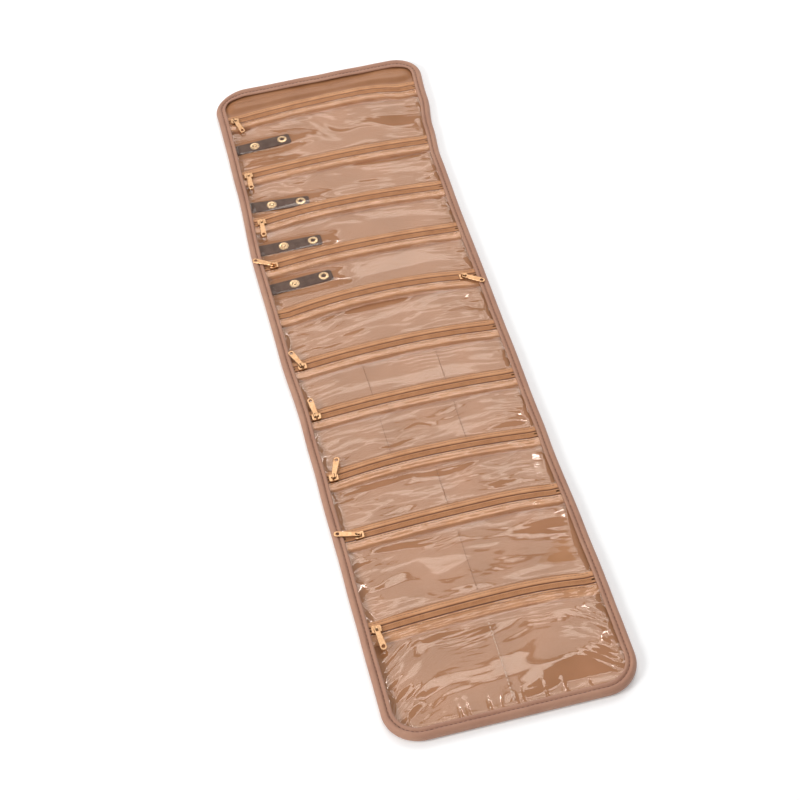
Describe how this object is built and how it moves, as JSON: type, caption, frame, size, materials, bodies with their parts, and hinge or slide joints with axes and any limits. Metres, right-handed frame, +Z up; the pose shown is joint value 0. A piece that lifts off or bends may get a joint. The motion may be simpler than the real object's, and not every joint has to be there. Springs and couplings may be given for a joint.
{
  "type": "jewelry roll",
  "caption": "Long padded fabric roll with bound edges, clear zip pockets one below another and snap straps, opened flat; rolls up to carry and hold jewelry.",
  "frame": {"origin": "centre of the flat underside of the open roll", "axes": "+X across the roll, +Y towards its top end, +Z up out of the pocket side"},
  "size_m": [0.2239, 0.842, 0.0121],
  "materials": {
    "cover_cloth": "matte woven cloth",
    "lining_cloth": "satin lining over foam",
    "zip_tape": "woven tape with coil",
    "clear_film": "clear flexible film",
    "brass": "polished light gold",
    "strap_hide": "smooth dark strap with metal snap"
  },
  "bodies": {
    "section_1": {"outer_cover_1": "cover_cloth", "padding_1": "lining_cloth", "top_facing": "lining_cloth", "zipper_01": "zip_tape", "zipper_02": "zip_tape", "window_01": "clear_film", "window_02": "clear_film", "strap_base_1": "strap_hide", "strap_base_2": "strap_hide"},
    "section_2": {"outer_cover_2": "cover_cloth", "padding_2": "lining_cloth", "zipper_03": "zip_tape", "zipper_04": "zip_tape", "zipper_05": "zip_tape", "zipper_06": "zip_tape", "window_03": "clear_film", "window_04": "clear_film", "window_05": "clear_film", "strap_base_3": "strap_hide", "strap_base_4": "strap_hide"},
    "section_3": {"outer_cover_3": "cover_cloth", "padding_3": "lining_cloth", "window_06": "clear_film", "zipper_07": "zip_tape", "window_07": "clear_film", "zipper_08": "zip_tape"},
    "section_4": {"outer_cover_4": "cover_cloth", "padding_4": "lining_cloth", "window_08": "clear_film", "zipper_09": "zip_tape", "window_09": "clear_film"},
    "section_5": {"outer_cover_5": "cover_cloth", "padding_5": "lining_cloth", "zipper_10": "zip_tape", "window_10": "clear_film"},
    "slider_01": {"slider_01": "brass"},
    "pull_01": {"pull_01": "brass"},
    "slider_02": {"slider_02": "brass"},
    "pull_02": {"pull_02": "brass"},
    "slider_03": {"slider_03": "brass"},
    "pull_03": {"pull_03": "brass"},
    "slider_04": {"slider_04": "brass"},
    "pull_04": {"pull_04": "brass"},
    "slider_05": {"slider_05": "brass"},
    "pull_05": {"pull_05": "brass"},
    "slider_06": {"slider_06": "brass"},
    "pull_06": {"pull_06": "brass"},
    "slider_07": {"slider_07": "brass"},
    "pull_07": {"pull_07": "brass"},
    "slider_08": {"slider_08": "brass"},
    "pull_08": {"pull_08": "brass"},
    "slider_09": {"slider_09": "brass"},
    "pull_09": {"pull_09": "brass"},
    "slider_10": {"slider_10": "brass"},
    "pull_10": {"pull_10": "brass"},
    "strap_flap_1": {"strap_flap_1": "strap_hide"},
    "strap_flap_2": {"strap_flap_2": "strap_hide"},
    "strap_flap_3": {"strap_flap_3": "strap_hide"},
    "strap_flap_4": {"strap_flap_4": "strap_hide"}
  },
  "joints": [
    {"name": "fold_1", "type": "hinge", "parent": "section_1", "child": "section_2", "pos_m": [0, 0.2155, 0.0091], "axis": [-1, 0, 0], "range_deg": [0, 120]},
    {"name": "fold_2", "type": "hinge", "parent": "section_2", "child": "section_3", "pos_m": [0, -0.016, 0.0091], "axis": [-1, 0, 0], "range_deg": [0, 120]},
    {"name": "fold_3", "type": "hinge", "parent": "section_3", "child": "section_4", "pos_m": [0, -0.156, 0.0091], "axis": [-1, 0, 0], "range_deg": [0, 100]},
    {"name": "fold_4", "type": "hinge", "parent": "section_4", "child": "section_5", "pos_m": [0, -0.2995, 0.0091], "axis": [-1, 0, 0], "range_deg": [0, 140]},
    {"name": "slider_01_slide", "type": "slide", "parent": "section_1", "child": "slider_01", "axis": [1, 0, 0], "range_m": [-0.002, 0.186]},
    {"name": "pull_01_flip", "type": "hinge", "parent": "slider_01", "child": "pull_01", "pos_m": [-0.092, 0.369, 0.01025], "axis": [0.9703, 0.2419, 0], "range_deg": [-170, 0]},
    {"name": "slider_02_slide", "type": "slide", "parent": "section_1", "child": "slider_02", "axis": [1, 0, 0], "range_m": [0, 0.188]},
    {"name": "pull_02_flip", "type": "hinge", "parent": "slider_02", "child": "pull_02", "pos_m": [-0.094, 0.279, 0.01025], "axis": [0.9994, -0.0349, 0], "range_deg": [-170, 0]},
    {"name": "slider_03_slide", "type": "slide", "parent": "section_2", "child": "slider_03", "axis": [1, 0, 0], "range_m": [0, 0.188]},
    {"name": "pull_03_flip", "type": "hinge", "parent": "slider_03", "child": "pull_03", "pos_m": [-0.094, 0.206, 0.01025], "axis": [0.9976, -0.0698, 0], "range_deg": [-170, 0]},
    {"name": "slider_04_slide", "type": "slide", "parent": "section_2", "child": "slider_04", "axis": [1, 0, 0], "range_m": [0, 0.188]},
    {"name": "pull_04_flip", "type": "hinge", "parent": "slider_04", "child": "pull_04", "pos_m": [-0.094, 0.141, 0.01025], "axis": [-0.5299, -0.848, 0], "range_deg": [-170, 0]},
    {"name": "slider_05_slide", "type": "slide", "parent": "section_2", "child": "slider_05", "axis": [-1, 0, 0], "range_m": [-0.008, 0.18]},
    {"name": "pull_05_flip", "type": "hinge", "parent": "slider_05", "child": "pull_05", "pos_m": [0.086, 0.072, 0.01025], "axis": [0.5736, 0.8192, 0], "range_deg": [-170, 0]},
    {"name": "slider_06_slide", "type": "slide", "parent": "section_2", "child": "slider_06", "axis": [1, 0, 0], "range_m": [0, 0.188]},
    {"name": "pull_06_flip", "type": "hinge", "parent": "slider_06", "child": "pull_06", "pos_m": [-0.094, 0, 0.01025], "axis": [-0.9336, -0.3584, 0], "range_deg": [-170, 0]},
    {"name": "slider_07_slide", "type": "slide", "parent": "section_3", "child": "slider_07", "axis": [1, 0, 0], "range_m": [0, 0.188]},
    {"name": "pull_07_flip", "type": "hinge", "parent": "slider_07", "child": "pull_07", "pos_m": [-0.094, -0.065, 0.01025], "axis": [-0.9962, -0.0872, 0], "range_deg": [-170, 0]},
    {"name": "slider_08_slide", "type": "slide", "parent": "section_3", "child": "slider_08", "axis": [1, 0, 0], "range_m": [0, 0.188]},
    {"name": "pull_08_flip", "type": "hinge", "parent": "slider_08", "child": "pull_08", "pos_m": [-0.094, -0.14, 0.01025], "axis": [-0.9397, 0.342, 0], "range_deg": [-170, 0]},
    {"name": "slider_09_slide", "type": "slide", "parent": "section_4", "child": "slider_09", "axis": [1, 0, 0], "range_m": [-0.008, 0.18]},
    {"name": "pull_09_flip", "type": "hinge", "parent": "slider_09", "child": "pull_09", "pos_m": [-0.086, -0.209, 0.01025], "axis": [-0.2756, -0.9613, 0], "range_deg": [-170, 0]},
    {"name": "slider_10_slide", "type": "slide", "parent": "section_5", "child": "slider_10", "axis": [1, 0, 0], "range_m": [0, 0.188]},
    {"name": "pull_10_flip", "type": "hinge", "parent": "slider_10", "child": "pull_10", "pos_m": [-0.094, -0.309, 0.01025], "axis": [0.9962, 0.0872, 0], "range_deg": [-170, 0]},
    {"name": "strap_1_fold", "type": "hinge", "parent": "section_1", "child": "strap_flap_1", "pos_m": [-0.06334, 0.32756, 0.00613], "axis": [0.0698, -0.9976, 0], "range_deg": [0, 180], "deforming": ["window_01"]},
    {"name": "strap_2_fold", "type": "hinge", "parent": "section_1", "child": "strap_flap_2", "pos_m": [-0.06345, 0.23016, 0.00613], "axis": [-0.1045, -0.9945, 0], "range_deg": [0, 180], "deforming": ["window_02"]},
    {"name": "strap_3_fold", "type": "hinge", "parent": "section_2", "child": "strap_flap_3", "pos_m": [-0.06326, 0.16836, 0.00613], "axis": [-0.0175, -0.9998, 0], "range_deg": [0, 180], "deforming": ["window_03"]},
    {"name": "strap_4_fold", "type": "hinge", "parent": "section_2", "child": "strap_flap_4", "pos_m": [-0.06334, 0.11456, 0.00613], "axis": [0.0698, -0.9976, 0], "range_deg": [0, 180], "deforming": ["window_04"]}
  ],
  "couplings": [
    {"joint": "fold_2", "follows": "fold_1", "ratio": 1},
    {"joint": "fold_3", "follows": "fold_1", "ratio": 0.83333},
    {"joint": "fold_4", "follows": "fold_1", "ratio": 1.1667}
  ]
}
